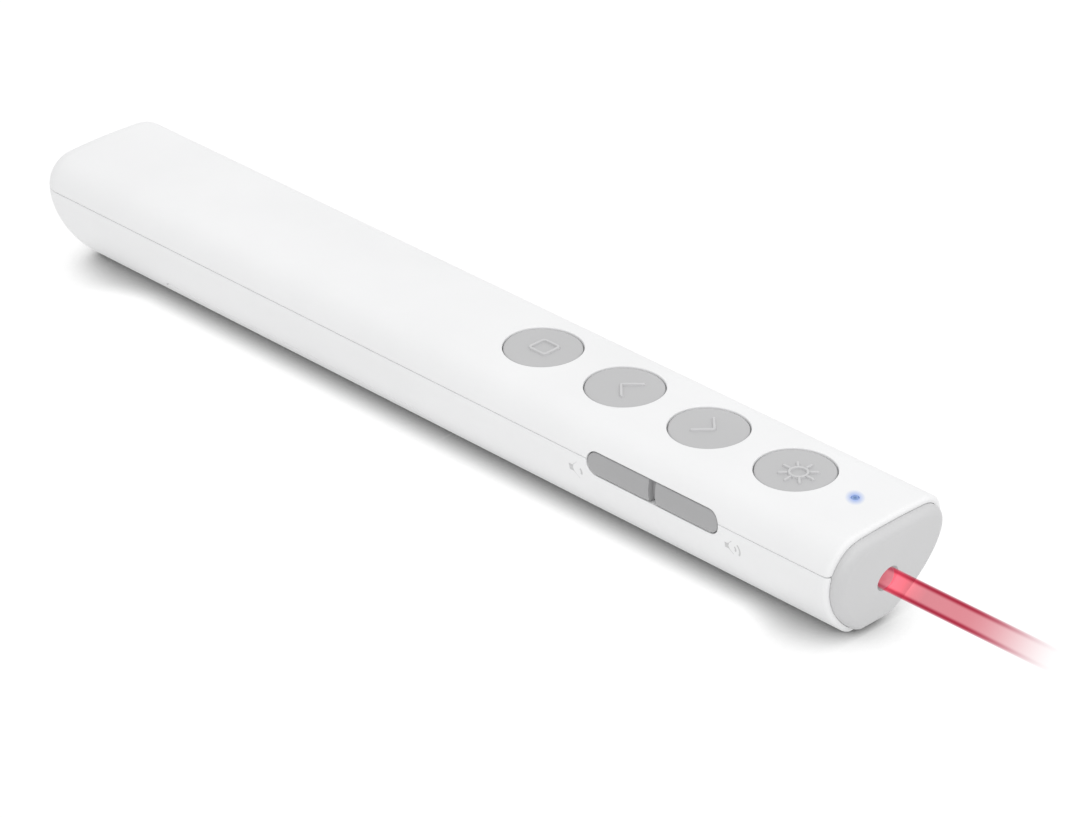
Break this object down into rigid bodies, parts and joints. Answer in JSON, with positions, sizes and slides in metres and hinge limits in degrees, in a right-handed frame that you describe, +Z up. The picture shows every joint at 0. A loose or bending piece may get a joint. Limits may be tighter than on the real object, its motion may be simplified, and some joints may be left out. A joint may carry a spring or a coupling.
{
  "type": "laser pointer",
  "caption": "Slim white wireless presenter with a laser in a domed grey nose cap, round flush keys on top, a tilting side rocker and a hinged battery cover underneath.",
  "frame": {"origin": "under the middle of the overall length, on the surface that the flat underside rests on", "axes": "+X along the length towards the nose where the laser leaves, -Y towards the side with the rocker, +Z up through the round keys"},
  "size_m": [0.1514, 0.021, 0.0174],
  "materials": {
    "white_shell": "satin white",
    "grey_plastic": "fine matt light grey",
    "rocker_grey": "fine matt mid grey",
    "clear_light_pipe": "clear, lit blue from below",
    "circuit_laminate": "green solder mask",
    "switch_black": "moulded black",
    "plunger_nylon": "moulded off-white",
    "chip_epoxy": "moulded black",
    "ferrite": "sintered dark grey",
    "capacitor_epoxy": "moulded ochre",
    "led_epoxy": "clear pale",
    "steel": "zinc bright",
    "barrel_brass": "turned",
    "diode_gilt": "gilded can",
    "tinned_metal": "tin plated",
    "lens_glass": "polished",
    "cell_sleeve": "dark printed sleeve",
    "black_insulation": "smooth",
    "red_insulation": "smooth"
  },
  "bodies": {
    "case": {"top_shell": "white_shell", "bottom_shell": "white_shell", "nose_cap": "grey_plastic", "laser_switch": "switch_black", "next_switch": "switch_black", "previous_switch": "switch_black", "black_screen_switch": "switch_black", "rocker_pivot_pin": "steel", "front_side_switch": "switch_black", "rear_side_switch": "switch_black", "indicator_light_pipe": "clear_light_pipe", "indicator_led": "led_epoxy", "circuit_board": "circuit_laminate", "power_inductor": "ferrite", "storage_capacitor": "capacitor_epoxy", "control_chip": "chip_epoxy", "crystal": "steel", "radio_chip": "chip_epoxy", "laser_driver_chip": "chip_epoxy", "laser_barrel": "barrel_brass", "laser_lens": "lens_glass", "laser_diode": "diode_gilt", "laser_lead_left": "tinned_metal", "laser_lead_right": "tinned_metal", "battery_cell": "cell_sleeve", "battery_spring": "steel", "battery_negative_contact": "tinned_metal", "battery_positive_contact": "tinned_metal", "battery_lead_negative": "black_insulation", "battery_lead_positive": "red_insulation", "board_screw_front_left": "steel", "board_screw_front_right": "steel", "board_screw_rear": "steel", "case_screw": "steel"},
    "laser_key": {"laser_button": "grey_plastic", "laser_plunger": "plunger_nylon"},
    "next_key": {"next_button": "grey_plastic", "next_plunger": "plunger_nylon"},
    "previous_key": {"previous_button": "grey_plastic", "previous_plunger": "plunger_nylon"},
    "black_screen_key": {"black_screen_button": "grey_plastic", "black_screen_plunger": "plunger_nylon"},
    "rocker": {"side_rocker": "rocker_grey"},
    "front_plunger": {"front_side_plunger": "plunger_nylon"},
    "rear_plunger": {"rear_side_plunger": "plunger_nylon"},
    "cover": {"battery_cover": "white_shell"}
  },
  "joints": [
    {"name": "laser_key_press", "type": "slide", "parent": "case", "child": "laser_key", "axis": [0, 0, -1], "range_m": [0, 0.0004], "stiffness_N_per_m": 1500, "springref_m": -0.0006},
    {"name": "next_key_press", "type": "slide", "parent": "case", "child": "next_key", "axis": [0, 0, -1], "range_m": [0, 0.0004], "stiffness_N_per_m": 1500, "springref_m": -0.0006},
    {"name": "previous_key_press", "type": "slide", "parent": "case", "child": "previous_key", "axis": [0, 0, -1], "range_m": [0, 0.0004], "stiffness_N_per_m": 1500, "springref_m": -0.0006},
    {"name": "black_screen_key_press", "type": "slide", "parent": "case", "child": "black_screen_key", "axis": [0, 0, -1], "range_m": [0, 0.0004], "stiffness_N_per_m": 1500, "springref_m": -0.0006},
    {"name": "rocker_tilt", "type": "hinge", "parent": "case", "child": "rocker", "pos_m": [0.04365, -0.0077, 0.0123], "axis": [0, 0, 1], "range_deg": [-2.5, 2.5], "stiffness_Nm_per_rad": 0.2},
    {"name": "front_plunger_slide", "type": "slide", "parent": "case", "child": "front_plunger", "axis": [0, 1, 0], "range_m": [-0.00033, 0.00033]},
    {"name": "rear_plunger_slide", "type": "slide", "parent": "case", "child": "rear_plunger", "axis": [0, 1, 0], "range_m": [-0.00033, 0.00033]},
    {"name": "cover_hinge", "type": "hinge", "parent": "case", "child": "cover", "pos_m": [0.00015, 0, 0.0002], "axis": [0, -1, 0], "range_deg": [0, 60]}
  ],
  "couplings": [
    {"joint": "front_plunger_slide", "follows": "rocker_tilt", "m_per_rad": 0.0075},
    {"joint": "rear_plunger_slide", "follows": "rocker_tilt", "m_per_rad": -0.0075}
  ]
}
